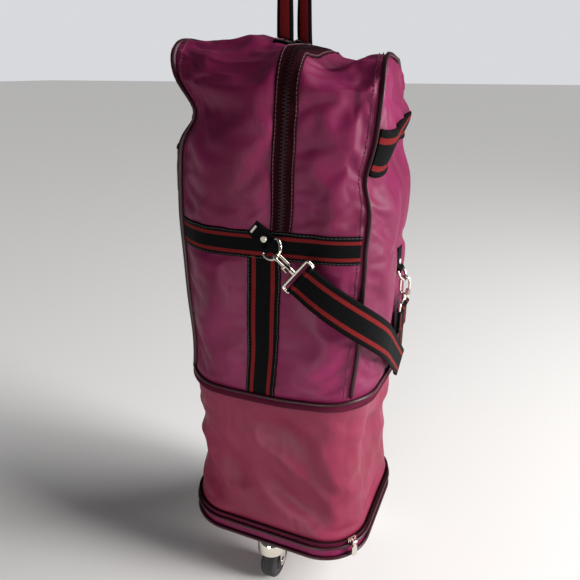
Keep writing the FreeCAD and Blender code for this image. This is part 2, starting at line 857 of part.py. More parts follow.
def expansion_pin_z():
    return (expansion_low() + lower_teeth_top) / 2 + 0.6


def expansion_slider():
    low, high = expansion_low(), lower_teeth_top + 0.3
    inner, outer = corner_radius + slide_gap, corner_radius + slider_thickness
    ring = cylinder(outer, (0, 0, low), (0, 0, high))
    ring = ring.cut(cylinder(inner, (0, 0, low - 1), (0, 0, high + 1)))
    half = outer * math.tan(math.radians(expansion_slider_half_angle))
    made = ring.common(box((-half, -outer - 5, low), (half, 0, high)))
    reach = piping_radius * 2 + 2 * slide_gap + pull_thickness / 2
    pin_y = -corner_radius - reach
    inner_x = pull_width / 4 + slide_gap
    for x in (-inner_x - pull_lug, inner_x):
        lug_low = expansion_pin_z() - pull_lug
        lug = box((x, pin_y - lug_half_depth, lug_low), (x + pull_lug, -corner_radius - 1, high))
        made = made.fuse(lug)
    z = expansion_pin_z()
    made = made.fuse(cylinder(pull_pin_radius, (-inner_x - 1, pin_y, z), (inner_x + 1, pin_y, z)))
    return on_corner(made.removeSplitter())


def expansion_pull():
    reach = piping_radius * 2 + 2 * slide_gap + pull_thickness / 2
    return on_corner(pull_tag(-corner_radius - reach, expansion_pin_z(), expansion_pull_length))


def parts():
    shell = upper_shell()
    zip_x = main_zip_x
    front_axle_y = front_caster_y + front_trail
    front_wheel = (0, front_axle_y, front_wheel_radius)
    front_axle_half = front_wheel_width / 2 + cheek_gap + sheet_thickness
    upper_tape_top = upper_tape_low + zip_tape_height
    made = {
        "bottom_panel": bottom_panel(),
        "base_board": base_board(),
        "base_band": base_band(),
        "base_piping": piping_ring(rim_bottom + piping_radius),
        "rim_piping": piping_ring(band_top - piping_radius),
        "lower_zip_tape": lower_zip_tape(),
        "lower_zip_teeth": lower_zip_teeth(),
        "expansion_gusset": expansion_gusset(),
        "caster_plate": caster_plate(),
        "caster_rivets": rivets(rivet_places(0, front_caster_y, plate_size, plate_size)),
        "bracket_rivets": rivets(bracket_rivet_places()),
        "caster_kingpin": kingpin(),
        "caster_hood": caster_hood(),
        "caster_axle": axle(*front_wheel, front_axle_half),
        "front_hub": wheel_hub(front_wheel, front_wheel_radius, front_wheel_width),
        "front_tyre": tyre(front_wheel, front_wheel_radius, front_wheel_width),
        "upper_zip_teeth": wall(0, zip_teeth_depth, ring_height, upper_tape_low),
        "upper_zip_tape": wall(0, zip_tape_thickness, upper_tape_low, upper_tape_top),
        "ring_piping": piping_ring(ring_piping_z),
        "wrap_panel_left": panel(shell, -seam_x, zip_x - bore_gap),
        "wrap_panel_right": panel(shell, zip_x + bore_gap, seam_x),
        "side_panel_left": panel(shell, -half_width - 1, -seam_x - 2 * bore_gap),
        "side_panel_right": panel(shell, seam_x + 2 * bore_gap, half_width + 1),
        "main_zip_tape": main_zip_tape(),
        "main_zip_teeth": main_zip_teeth(),
        "waist_webbing": waist_webbing(),
        "vertical_webbing": vertical_webbing(),
        "handle_anchors": handle_anchors(),
        "top_handle": top_handle(),
        "front_ring_tab": placed(ring_tab(), *front_place()),
        "rear_ring_tab": placed(ring_tab(), *rear_place()),
        "front_ring": ring_in_place(front_place(), front_ring_tilt),
        "rear_ring": ring_in_place(rear_place(), rear_ring_tilt),
        "tab_rivets": Part.makeCompound(
            [
                placed(tab_rivet(), *front_place()),
                placed(tab_rivet(), *rear_place()),
                placed(tab_crimp(), *front_place()),
            ]
        ),
        "strap_webbing": shoulder_strap(),
        "main_slider": main_slider(),
        "main_pull": main_pull(),
        "expansion_slider": expansion_slider(),
        "expansion_pull": expansion_pull(),
    }
    for name, place, tilt in (
        ("front", front_place(), front_ring_tilt),
        ("rear", rear_place(), rear_ring_tilt),
    ):
        origin = contact(place, tilt)
        made[name + "_hook"] = placed(snap_hook(), origin, place[1], place[2])
        made[name + "_hook_gate"] = placed(hook_gate(), origin, place[1], place[2])
    for name, side in (("left", -1), ("right", 1)):
        centre = (side * rear_wheel_x, rear_wheel_y, rear_wheel_radius)
        half = rear_wheel_width / 2 + cheek_gap + plate_thickness
        made["rear_bracket_" + name] = bracket(side)
        made["rear_axle_" + name] = axle(*centre, half)
        made["rear_hub_" + name] = wheel_hub(centre, rear_wheel_radius, rear_wheel_width)
        made["rear_tyre_" + name] = tyre(centre, rear_wheel_radius, rear_wheel_width)
        made["edge_piping_" + name] = edge_piping(side)
        made["side_webbing_" + name] = side_webbing(side)
    return made


os.makedirs("parts", exist_ok=True)
for node, shape in parts().items():
    shape.exportStep("parts/" + node + ".step")
    volumes = " ".join(f"{solid.Volume:.0f}" for solid in shape.Solids)
    print(node, shape.isValid(), len(shape.Solids), volumes)
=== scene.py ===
"""Looks of the expandable soft bag on three wheels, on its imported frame. Metres, +Z up, front at -Y."""

import json
import math

import bmesh
import bpy
from mathutils import Matrix, Vector, noise
from mathutils.bvhtree import BVHTree
from mathutils.interpolate import poly_3d_calc


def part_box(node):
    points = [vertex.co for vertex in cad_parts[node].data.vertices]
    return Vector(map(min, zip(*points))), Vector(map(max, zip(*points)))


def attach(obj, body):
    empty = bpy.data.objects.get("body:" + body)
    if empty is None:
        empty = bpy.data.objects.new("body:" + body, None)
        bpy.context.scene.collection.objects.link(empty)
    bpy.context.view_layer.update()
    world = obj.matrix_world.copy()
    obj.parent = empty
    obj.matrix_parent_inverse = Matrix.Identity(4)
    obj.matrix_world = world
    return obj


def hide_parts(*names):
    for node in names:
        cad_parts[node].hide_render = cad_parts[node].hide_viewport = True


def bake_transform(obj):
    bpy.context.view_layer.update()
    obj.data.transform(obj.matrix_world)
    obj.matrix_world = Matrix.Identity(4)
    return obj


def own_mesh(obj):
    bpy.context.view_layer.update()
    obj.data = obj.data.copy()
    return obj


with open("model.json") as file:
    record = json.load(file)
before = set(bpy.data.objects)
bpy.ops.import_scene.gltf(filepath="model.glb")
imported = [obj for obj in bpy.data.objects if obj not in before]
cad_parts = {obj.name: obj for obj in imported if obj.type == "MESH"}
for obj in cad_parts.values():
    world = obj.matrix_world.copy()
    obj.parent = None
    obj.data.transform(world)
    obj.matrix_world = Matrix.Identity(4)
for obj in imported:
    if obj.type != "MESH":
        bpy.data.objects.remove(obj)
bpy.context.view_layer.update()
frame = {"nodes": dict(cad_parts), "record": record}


def span_z(node):
    """Lowest and highest level of a node."""
    return [corner.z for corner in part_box(node)]


# Plan and heights, read from the frame
half_width, half_depth, band_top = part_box("base_band")[1]
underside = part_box("bottom_panel")[0].z
panel_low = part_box("side_panel_right")[0].z
bag_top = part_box("wrap_panel_left")[1].z
gusset_low, gusset_high = span_z("expansion_gusset")
lower_tape = span_z("lower_zip_tape")
lower_teeth = span_z("lower_zip_teeth")
upper_tape = span_z("upper_zip_tape")
upper_teeth = span_z("upper_zip_teeth")
base_piping_z = sum(span_z("base_piping")) / 2
rim_piping_z = sum(span_z("rim_piping")) / 2
ring_piping_z = sum(span_z("ring_piping")) / 2
seam_x = sum(corner.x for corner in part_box("edge_piping_right")) / 2
seam_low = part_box("edge_piping_right")[0].z
zip_x = sum(corner.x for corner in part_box("main_zip_tape")) / 2
zip_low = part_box("main_zip_tape")[0].z
waist = span_z("waist_webbing")
waist_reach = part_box("waist_webbing")[1].x
side_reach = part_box("side_webbing_right")[0].x
vertical_low, vertical_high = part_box("vertical_webbing")
track_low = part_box("main_slider")[0].z
slider_travel = 0.1
track_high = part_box("main_slider")[1].z + slider_travel
side_band = span_z("side_webbing_right")
handle_low, handle_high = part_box("top_handle")

# Sizes that a box doesn't give
corner_radius = 0.062
top_fillet = 0.040
straight_x = half_width - corner_radius
straight_y = half_depth - corner_radius
piping_radius = 0.0023
piping_lift = 0.0021
ring_piping_lift = 0.0016
cloth_cell = 0.006
cloth_thickness = 0.0014
zip_thickness = 0.0009
webbing_thickness = 0.0017
ring_tape_thickness = 0.0012
gusset_thickness = 0.0010
gusset_inset = 0.0033
handle_foot_y = 0.042
handle_thickness = 0.0046
tooth_radial = 0.0022

# Stitches: length, width and height of each, the distance between them, and how far rows are from an edge
seam_stitch = (0.0030, 0.0007, 0.0006)
stitch_spacing = 0.0042
foot_stitch = (0.0026, 0.0006, 0.0005)
foot_stitch_spacing = 0.0034
edge_stitch_inset = 0.0058
zip_stitch_inset = 0.002
webbing_stitch_inset = 0.0016

# Wire bars that webbing is looped round, with the direction that hangs from each
front_slope = math.radians(40)
front_bar = Vector((0.018, -half_depth - 0.00625, 0.502))
front_hang = Vector((math.cos(front_slope), 0, -math.sin(front_slope)))
rear_bar = Vector((half_width + 0.00395, 0.022, 0.446))
rear_hang = Vector((0, 0, -1))
rear_tab_z = 0.457

# Strap: the eyes of its two hooks are this far along from the bars
strap_width = 0.038
strap_lift = 0.01138
strap_thickness = 0.0017
front_hook_reach = 0.04835
rear_hook_reach = 0.0473
front_eye = Vector((front_bar.x, -half_depth - strap_lift, front_bar.z)) + front_hook_reach * front_hang
rear_eye = Vector((half_width + strap_lift, rear_bar.y, rear_bar.z)) + rear_hook_reach * rear_hang


# Materials


def new_material(name, colour, roughness, metallic=0.0, **sockets):
    """Material with a principled shader, whose even values are set on its own sockets."""
    made = bpy.data.materials.new(name)
    made.use_nodes = True
    shader = made.node_tree.nodes["Principled BSDF"]
    shader.inputs["Base Color"].default_value = (*colour, 1)
    shader.inputs["Roughness"].default_value = roughness
    shader.inputs["Metallic"].default_value = metallic
    for socket, value in sockets.items():
        shader.inputs[socket.replace("_", " ")].default_value = value
    return made


def add_node(made, kind, links=(), **values):
    """Node with its values set by input name, and its inputs linked from other nodes' outputs."""
    node = made.node_tree.nodes.new(kind)
    for key, value in values.items():
        name = key.replace("_", " ")
        if name in node.inputs:
            node.inputs[name].default_value = value
        else:
            setattr(node, key, value)
    for name, output in links:
        made.node_tree.links.new(output, node.inputs[name])
    return node


def coordinates(made, output="Object", scale=(1, 1, 1), turn=(0, 0, 0)):
    place = add_node(made, "ShaderNodeTexCoord")
    mapped = add_node(made, "ShaderNodeMapping", [("Vector", place.outputs[output])])
    mapped.inputs["Scale"].default_value = scale
    mapped.inputs["Rotation"].default_value = turn
    return mapped.outputs["Vector"]


def ramp(made, factor, stops, interpolation="LINEAR"):
    """Colour ramp from (position, colour) stops."""
    node = add_node(made, "ShaderNodeValToRGB", [("Fac", factor)])
    node.color_ramp.interpolation = interpolation
    elements = node.color_ramp.elements
    while len(elements) < len(stops):
        elements.new(1.0)
    for element, (position, colour) in zip(elements, stops):
        element.position = position
        element.color = (*colour, 1)
    return node.outputs["Color"]


def to_shader(made, socket, output):
    made.node_tree.links.new(output, made.node_tree.nodes["Principled BSDF"].inputs[socket])


def bumped(made, heights):
    """Chains bump nodes from (height output, distance in metres, strength), coarsest first."""
    normal = None
    for height, distance, strength in heights:
        links = [("Height", height)]
        if normal is not None:
            links.append(("Normal", normal))
        node = add_node(made, "ShaderNodeBump", links, Distance=distance, Strength=strength)
        normal = node.outputs["Normal"]
    to_shader(made, "Normal", normal)


def noise_of(made, vector, scale, detail=3.0, roughness=0.5, distortion=0.0):
    node = add_node(made, "ShaderNodeTexNoise", [("Vector", vector)], Scale=scale, Detail=detail)
    node.inputs["Roughness"].default_value = roughness
    node.inputs["Distortion"].default_value = distortion
    return node.outputs["Fac"]


def crease_of(made, vector, scale):
    """Height with sharp valleys, as thin coated cloth keeps where it was crushed."""
    fold = noise_of(made, vector, scale, 2.0, 0.45, 0.8)
    centred = add_node(made, "ShaderNodeMath", operation="SUBTRACT")
    made.node_tree.links.new(fold, centred.inputs[0])
    centred.inputs[1].default_value = 0.5
    ridge = add_node(made, "ShaderNodeMath", operation="ABSOLUTE")
    made.node_tree.links.new(centred.outputs[0], ridge.inputs[0])
    return ridge.outputs[0]


def coated_nylon(name, light, dark, crush):
    """Thin plain-woven nylon with a shiny coating: fine weave, soft crush marks and uneven dye."""
    gloss = {"Sheen_Weight": 0.03, "Sheen_Roughness": 0.35, "Specular_IOR_Level": 0.24}
    made = new_material(name, light, 0.42, **gloss)
    made.node_tree.nodes["Principled BSDF"].inputs["Sheen Tint"].default_value = (0.9, 0.4, 0.6, 1)
    where = coordinates(made)
    dye = noise_of(made, where, 9.0, 5.0, 0.6)
    to_shader(made, "Base Color", ramp(made, dye, [(0.3, dark), (0.72, light)]))
    shine = noise_of(made, where, 24.0, 4.0)
    spread = add_node(made, "ShaderNodeMapRange", [("Value", shine)])
    spread.inputs["To Min"].default_value = 0.40
    spread.inputs["To Max"].default_value = 0.60
    to_shader(made, "Roughness", spread.outputs["Result"])
    weave = []
    for turn in (0, 90):
        lines = coordinates(made, turn=(math.radians(turn), 0, math.radians(45)))
        wave = add_node(made, "ShaderNodeTexWave", [("Vector", lines)], Scale=260.0, Distortion=1.2)
        wave.bands_direction = "Z"
        weave.append(wave.outputs["Fac"])
    heights = [(crease_of(made, where, 13.0), 0.0045 * crush, 0.7)]
    heights.append((crease_of(made, where, 42.0), 0.0004 * crush, 0.5))
    heights += [(wave, 0.00008, 0.5) for wave in weave]
    bumped(made, heights)
    return made


def woven(name, stops, pitch=900.0, roughness=0.62):
    """Woven tape: stripes across its width from the UV map's V, and herringbone ribs along it."""
    made = new_material(name, (0.01, 0.01, 0.012), roughness, Specular_IOR_Level=0.06)
    flat = coordinates(made, "UV")
    parts = add_node(made, "ShaderNodeSeparateXYZ", [("Vector", flat)])
    fray = add_node(made, "ShaderNodeMath", operation="MULTIPLY_ADD")
    yarns = noise_of(made, coordinates(made, "UV", (1400, 30, 1)), 1.0, 1.0)
    made.node_tree.links.new(yarns, fray.inputs[0])
    fray.inputs[1].default_value = 0.03
    made.node_tree.links.new(parts.outputs["Y"], fray.inputs[2])
    colour = ramp(made, fray.outputs[0], stops, "CONSTANT")
    ribs = add_node(made, "ShaderNodeTexWave", [("Vector", coordinates(made, "UV", (1, 0.012, 1)))])
    ribs.inputs["Scale"].default_value = pitch / 2
    ribs.inputs["Distortion"].default_value = 2.0
    across = add_node(made, "ShaderNodeTexWave", [("Vector", coordinates(made, "UV", (0.3, 1, 1)))])
    across.bands_direction = "Y"
    across.inputs["Scale"].default_value = 4.4
    shade = add_node(made, "ShaderNodeMix", data_type="RGBA", blend_type="MULTIPLY")
    shade.inputs["Factor"].default_value = 0.35
    made.node_tree.links.new(colour, shade.inputs["A"])
    made.node_tree.links.new(ribs.outputs["Color"], shade.inputs["B"])
    to_shader(made, "Base Color", shade.outputs["Result"])
    bumped(made, [(across.outputs["Fac"], 0.0002, 0.4), (ribs.outputs["Fac"], 0.00025, 0.6)])
    return made


def speckled(name, colour, roughness, metallic=0.0, grain=180.0, depth=0.00012, wear=0.12, **sockets):
    """Hard finish with faint uneven colour and roughness and a fine grain."""
    made = new_material(name, colour, roughness, metallic, **sockets)
    where = coordinates(made)
    dull = tuple(channel * (1 - wear) for channel in colour)
    marks = noise_of(made, where, 40.0, 5.0)
    to_shader(made, "Base Color", ramp(made, marks, [(0.35, dull), (0.65, colour)]))
    smears = noise_of(made, where, 90.0, 5.0, 0.65)
    spread = add_node(made, "ShaderNodeMapRange", [("Value", smears)])
    spread.inputs["To Min"].default_value = max(0.04, roughness - 0.09)
    spread.inputs["To Max"].default_value = roughness + 0.11
    to_shader(made, "Roughness", spread.outputs["Result"])
    bumped(made, [(noise_of(made, where, grain, 3.0), depth, 0.6)])
    return made


black = (0.0015, 0.0015, 0.0018)
red = (0.165, 0.010, 0.011)
plum = (0.182, 0.010, 0.064)
plum_dark = (0.105, 0.003, 0.029)
stripes = [(0.0, black), (0.15, red), (0.275, black), (0.725, red), (0.85, black)]

panel_cloth = coated_nylon("plum_coated_nylon", plum, plum_dark, 1.0)
gusset_cloth = coated_nylon("gusset_coated_nylon", (0.215, 0.021, 0.056), (0.140, 0.009, 0.029), 1.1)
striped_webbing = woven("striped_webbing", stripes)
handle_webbing = woven("handle_webbing", [(0.0, black), (0.3, red), (0.7, black)])
plain_webbing = woven("black_webbing", [(0.0, black), (0.99, black)])
fine_ribs = 1500.0
zip_colours = [(0.0, (0.022, 0.0015, 0.004)), (0.99, (0.02, 0.0015, 0.004))]
ring_colours = [(0.0, (0.105, 0.008, 0.030)), (0.99, (0.100, 0.008, 0.028))]
zip_cloth = woven("zip_tape_cloth", zip_colours, fine_ribs)
ring_cloth = woven("ring_tape_cloth", ring_colours, fine_ribs)
piping_vinyl = speckled("piping_vinyl", (0.030, 0.002, 0.007), 0.38, Specular_IOR_Level=0.35)
teeth_plastic = speckled("zip_teeth_plastic", (0.014, 0.0015, 0.004), 0.5, Specular_IOR_Level=0.2)
thread = speckled("sewing_thread", (0.085, 0.012, 0.030), 0.7, Sheen_Weight=0.2)
black_thread = speckled("black_thread", (0.012, 0.012, 0.014), 0.7, Sheen_Weight=0.2)
nickel = speckled("nickel_plate", (0.78, 0.74, 0.66), 0.24, 1.0, 420.0, 0.00006, 0.08)
rubber = speckled("tyre_rubber", (0.018, 0.017, 0.017), 0.62, 0.0, 260.0, 0.0002)
hub_plastic = speckled("hub_plastic", (0.10, 0.10, 0.105), 0.42, 0.0, 300.0, 0.0001)
board = speckled("stiffener_board", (0.06, 0.055, 0.05), 0.8, 0.0, 120.0, 0.0003, 0.25)

frame_finishes = {
    "nickel": nickel,
    "tyre": rubber,
    "wheel_hub": hub_plastic,
    "stiffener": board,
}


def finish_frame_nodes():
    """Gives every hard node of the frame its finish."""
    slots = {}
    for entry in frame["record"]["materials"]:
        for name in entry.get("nodes", []):
            slots[name] = entry["slot"]
    for name, piece in frame["nodes"].items():
        finish = frame_finishes.get(slots.get(name))
        if finish is None:
            continue
        if not piece.data.materials:
            piece.data.materials.append(finish)
        for slot in piece.material_slots:
            slot.material = finish


# Paths


def walk(start, heading, legs, share):
    """Point and heading at a share of a flat path of (length, turn) legs. A straight leg has no turn."""
    left = share * sum(length for length, turn in legs)
    at = Vector(start)
    for length, turn in legs:
        step = min(left, length)
        half_bend = turn * step / length / 2
        chord = step if abs(half_bend) < 1e-9 else step * math.sin(half_bend) / half_bend
        at = at + chord * Vector((math.cos(heading + half_bend), math.sin(heading + half_bend)))
        heading += 2 * half_bend
        left -= step
        if left < 1e-9:
            break
    return at, heading


quarter = (corner_radius * math.pi / 2, math.pi / 2)
plan_legs = [(straight_x, 0), quarter, (2 * straight_y, 0), quarter, (2 * straight_x, 0), quarter]
plan_legs += [(2 * straight_y, 0), quarter, (straight_x, 0)]
plan_length = sum(length for length, turn in plan_legs)


def round_bag(share, z, grow=0.0):
    """Point on the plan outline grown outwards, and the outward way. It starts at the back's middle,
    passes the left side at 0.25, the front at 0.5 and the right side at 0.75."""
    at, heading = walk((0, half_depth), math.pi, plan_legs, share % 1.0)
    out = Vector((math.cos(heading - math.pi / 2), math.sin(heading - math.pi / 2), 0))
    return Vector((at.x, at.y, z)) + grow * out, out


def wall_y(x):
    """Half depth of the bag at this distance from its middle plane."""
    past = max(0.0, abs(x) - straight_x)
    return straight_y + math.sqrt(corner_radius**2 - past**2)


def arc_reach(past):
    """Length along a corner's arc to where it has gone this far sideways."""
    return corner_radius * math.asin(past / corner_radius)


def over_bag(x, low, share, grow=0.0):
    """Point on the line over the bag in the plane of this x, from the front's low end to the back's."""
    inside = max(0.0, abs(x) - (half_width - top_fillet))
    top = bag_top - top_fillet + math.sqrt(top_fillet**2 - inside**2)
    depth = wall_y(x)
    bend = top_fillet if inside == 0 else 0.95 * ((depth - straight_y) + (top - bag_top + top_fillet)) / 2
    turn = (bend * math.pi / 2, -math.pi / 2)
    rise = (top - bend - low, 0)
    at, heading = walk((-depth, low), math.pi / 2, [rise, turn, (2 * (depth - bend), 0), turn, rise], share)
    out = Vector((0, math.cos(heading + math.pi / 2), math.sin(heading + math.pi / 2)))
    return Vector((x, at.x, at.y)) + grow * out, out


def over_length(x, low):
    count = 400
    points = [over_bag(x, low, step / count)[0] for step in range(count + 1)]
    return sum((b - a).length for a, b in zip(points, points[1:]))


# Pieces


def new_piece(name, bm, finish, smooth=True):
    mesh = bpy.data.meshes.new(name)
    bm.to_mesh(mesh)
    bm.free()
    mesh.materials.append(finish)
    mesh.polygons.foreach_set("use_smooth", [smooth] * len(mesh.polygons))
    piece = bpy.data.objects.new(name, mesh)
    bpy.context.scene.collection.objects.link(piece)
    return piece


def cloth_grid(columns, rows, place, length=1.0, closed=False):
    """Grid whose points are placed by their two shares. U is in metres along, V is the share across."""
    bm = bmesh.new()
    uv = bm.loops.layers.uv.new("UVMap")
    bmesh.ops.create_grid(bm, x_segments=columns, y_segments=rows, size=0.5, calc_uvs=True)
    for face in bm.faces:
        for loop in face.loops:
            loop[uv].uv = ((loop.vert.co.x + 0.5) * length, loop.vert.co.y + 0.5)
    for vertex in bm.verts:
        vertex.co = place(vertex.co.x + 0.5, vertex.co.y + 0.5)
    if closed:
        bmesh.ops.remove_doubles(bm, verts=bm.verts, dist=1e-5)
    bm.normal_update()
    return bm


def face_outwards(bm, toward):
    """Turns the faces over if most of them don't face the way that toward gives for a point."""
    bm.normal_update()
    facing = sum(face.normal.dot(toward(face.calc_center_median())) * face.calc_area() for face in bm.faces)
    if facing < 0:
        bmesh.ops.reverse_faces(bm, faces=bm.faces)


def from_middle(point):
    """Level direction out of the bag's upright middle line."""
    return Vector((point.x, point.y, 0))


def cut_away(bm, at, way):
    """Cuts off what lies beyond a plane."""
    everything = bm.verts[:] + bm.edges[:] + bm.faces[:]
    bmesh.ops.bisect_plane(bm, geom=everything, dist=1e-6, plane_co=at, plane_no=way, clear_outer=True)


def with_modifiers(piece):
    """New mesh of a piece as its modifiers make it."""
    return bpy.data.meshes.new_from_object(piece.evaluated_get(bpy.context.evaluated_depsgraph_get()))


def thicken(piece, thickness, offset=-1.0, smooth_levels=0):
    if smooth_levels:
        rounding = piece.modifiers.new("rounding", "SUBSURF")
        rounding.levels = smooth_levels
        rounding.render_levels = smooth_levels
    wall = piece.modifiers.new("wall", "SOLIDIFY")
    wall.thickness = thickness
    wall.offset = offset
    wall.use_even_offset = True
    return piece


def cord(name, place, across, columns, closed=False):
    """Piping along place(share), which gives a point and an outward way. Across is the third axis."""
    facets = 10

    def on_cord(u, v):
        at, out = place(u)
        angle = 2 * math.pi * v
        return at + piping_radius * (math.cos(angle) * out + math.sin(angle) * across)

    bm = cloth_grid(columns, facets, on_cord, 1.0, True)
    if not closed:
        bmesh.ops.holes_fill(bm, edges=[edge for edge in bm.edges if edge.is_boundary], sides=0)
    bmesh.ops.recalc_face_normals(bm, faces=bm.faces)
    return new_piece(name, bm, piping_vinyl)


def blocks(name, count, place, size, finish):
    """Row of small blocks, as teeth or stitches. place(number) gives a point and its two ways."""
    bm = bmesh.new()
    for number in range(count):
        at, along, out = place(number)
        along = along.normalized()
        out = (out - out.dot(along) * along).normalized()
        turned = Matrix((along, out.cross(along), out)).transposed().to_4x4()
        matrix = Matrix.Translation(at) @ turned @ Matrix.Diagonal((*size, 1))
        bmesh.ops.create_cube(bm, size=1.0, matrix=matrix)
    return new_piece(name, bm, finish, False)


def stitch_row(name, length, place, finish, spacing=stitch_spacing, size=seam_stitch):
    """Stitches along place(share), which gives a point and an outward direction."""
    count = max(2, int(length / spacing))

    def stitch(number):
        share = (number + 0.5) / count
        at, out = place(share)
        ahead = place(min(1.0, share + 0.002))[0]
        behind = place(max(0.0, share - 0.002))[0]
        return at, ahead - behind, out

    return blocks(name, count, stitch, size, finish)


def join(name, pieces):
    """Joins pieces into one mesh, keeping their materials."""
    bm = bmesh.new()
    finishes = []
    for piece in pieces:
        before = len(bm.faces)
        bm.from_mesh(piece.data)
        bm.faces.ensure_lookup_table()
        finish = piece.data.materials[0]
        if finish not in finishes:
            finishes.append(finish)
        for face in bm.faces[before:]:
            face.material_index = finishes.index(finish)
    smooth = pieces[0].data.polygons[0].use_smooth
    joined = new_piece(name, bm, finishes[0], smooth)
    for finish in finishes[1:]:
        joined.data.materials.append(finish)
    for piece in pieces:
        bpy.data.objects.remove(piece)
    return joined


# Worn shape of the upper bag

twists = [(0.106, 0.0), (0.20, -0.3), (0.303, -0.7), (0.387, 2.0), (0.49, 3.5), (0.55, 5.0), (0.70, 8.0)]
# Soft lumps and hollows: centre, reach along each axis, and push
lumps = [
    ((-0.106, -0.090, 0.520), (0.035, 0.045, 0.260), (-0.004, 0.016, 0.0)),
    ((-0.124, -0.080, 0.680), (0.055, 0.080, 0.030), (-0.008, 0.0, 0.012)),
    ((-0.124, -0.070, 0.630), (0.055, 0.110, 0.022), (0.022, 0.002, 0.0)),
    ((-0.124, -0.070, 0.520), (0.060, 0.100, 0.055), (-0.005, 0.0, 0.0)),
    ((-0.124, -0.050, 0.350), (0.060, 0.120, 0.060), (0.007, 0.0, 0.0)),
    ((-0.075, -0.113, 0.640), (0.045, 0.050, 0.060), (0.0, 0.006, 0.0)),
    ((-0.030, -0.113, 0.590), (0.040, 0.050, 0.050), (0.0, -0.006, 0.0)),
    ((0.070, -0.113, 0.600), (0.045, 0.050, 0.070), (0.0, 0.009, 0.0)),
    ((0.124, 0.000, 0.585), (0.045, 0.110, 0.022), (-0.014, 0.0, 0.0)),
    ((0.124, -0.010, 0.540), (0.045, 0.060, 0.030), (0.004, 0.0, 0.0)),
    ((0.118, -0.070, 0.585), (0.030, 0.050, 0.050), (-0.004, 0.0, -0.020)),
    ((0.124, 0.060, 0.600), (0.030, 0.060, 0.040), (0.0, 0.0, 0.008)),
    ((0.124, 0.050, 0.660), (0.050, 0.080, 0.045), (0.0, 0.0, -0.010)),
    ((0.050, -0.040, 0.692), (0.022, 0.055, 0.030), (0.0, 0.0, -0.018)),
    ((0.085, 0.010, 0.692), (0.024, 0.070, 0.030), (-0.004, 0.0, 0.012)),
    ((-0.055, 0.000, 0.692), (0.060, 0.090, 0.045), (0.0, 0.0, 0.022)),
    ((0.060, -0.113, 0.430), (0.045, 0.050, 0.050), (0.0, 0.007, 0.0)),
    ((-0.070, -0.113, 0.420), (0.045, 0.050, 0.060), (0.0, -0.006, 0.0)),
    ((0.110, -0.085, 0.312), (0.080, 0.080, 0.060), (0.0, 0.0, 0.008)),
    ((0.068, -0.112, 0.210), (0.022, 0.030, 0.080), (-0.003, 0.010, 0.0)),
    ((-0.060, -0.105, 0.180), (0.050, 0.040, 0.045), (0.002, 0.007, 0.0)),
    ((0.010, -0.113, 0.255), (0.060, 0.030, 0.018), (0.0, 0.005, 0.0)),
    ((0.120, 0.000, 0.230), (0.030, 0.060, 0.040), (-0.008, 0.0, 0.0)),
]


def twist_at(z):
    below = twists[0]
    if z <= below[0]:
        return below[1]
    for above in twists[1:]:
        if z < above[0]:
            share = (z - below[0]) / (above[0] - below[0])
            share = share * share * (3 - 2 * share)
            return below[1] + share * (above[1] - below[1])
        below = above
    return below[1]


def beside_track(point):
    """0 on the straight run at the back where the main slider travels, and 1 away from it."""
    if point.y < 0:
        return 1.0
    across = max(0.0, abs(point.x - zip_x) - 0.012) / 0.045
    above = max(0.0, point.z - track_high) / 0.035
    below = max(0.0, track_low - point.z) / 0.050
    return 1 - math.exp(-(across**2 + above**2 + below**2))


def settle(point):
    """Where the sagging, slightly wrung bag takes a point of its plain form."""
    moved = point.copy()
    soft = min(1.0, max(0.0, (point.z - lower_teeth[1]) / 0.05))
    for centre, reach, push in lumps:
        away = sum(((point[axis] - centre[axis]) / reach[axis]) ** 2 for axis in range(3))
        if away < 9:
            moved += soft * math.exp(-away) * Vector(push)
    return Matrix.Rotation(math.radians(beside_track(point) * twist_at(point.z)), 3, "Z") @ moved


def upper_form():
    """Plain form of the upper bag as one even mesh, open at the bottom."""
    bm = bmesh.new()
    low = panel_low - 0.03
    size = Matrix.Diagonal((2 * half_width, 2 * half_depth, bag_top - low, 1))
    bmesh.ops.create_cube(bm, size=1.0, matrix=Matrix.Translation((0, 0, (bag_top + low) / 2)) @ size)
    upright = [e for e in bm.edges if abs(e.verts[0].co.z - e.verts[1].co.z) > 0.1]
    rounding = {"affect": "EDGES", "profile": 0.5, "material": -1, "offset_type": "OFFSET"}
    bmesh.ops.bevel(bm, geom=upright, offset=corner_radius, segments=20, **rounding)
    rim = [e for e in bm.edges if min(v.co.z for v in e.verts) > bag_top - 1e-5]
    bmesh.ops.bevel(bm, geom=rim, offset=top_fillet, segments=12, **rounding)
    form = new_piece("form", bm, panel_cloth)
    remesh = form.modifiers.new("even", "REMESH")
    remesh.mode = "VOXEL"
    remesh.voxel_size = cloth_cell
    even = with_modifiers(form)
    form.modifiers.clear()
    bm = bmesh.new()
    bm.from_mesh(even)
    cut_away(bm, (0, 0, panel_low), (0, 0, -1))
    bmesh.ops.remove_doubles(bm, verts=bm.verts, dist=0.0012)
    bm.to_mesh(form.data)
    bm.free()
    form.data.polygons.foreach_set("use_smooth", [True] * len(form.data.polygons))
    return form


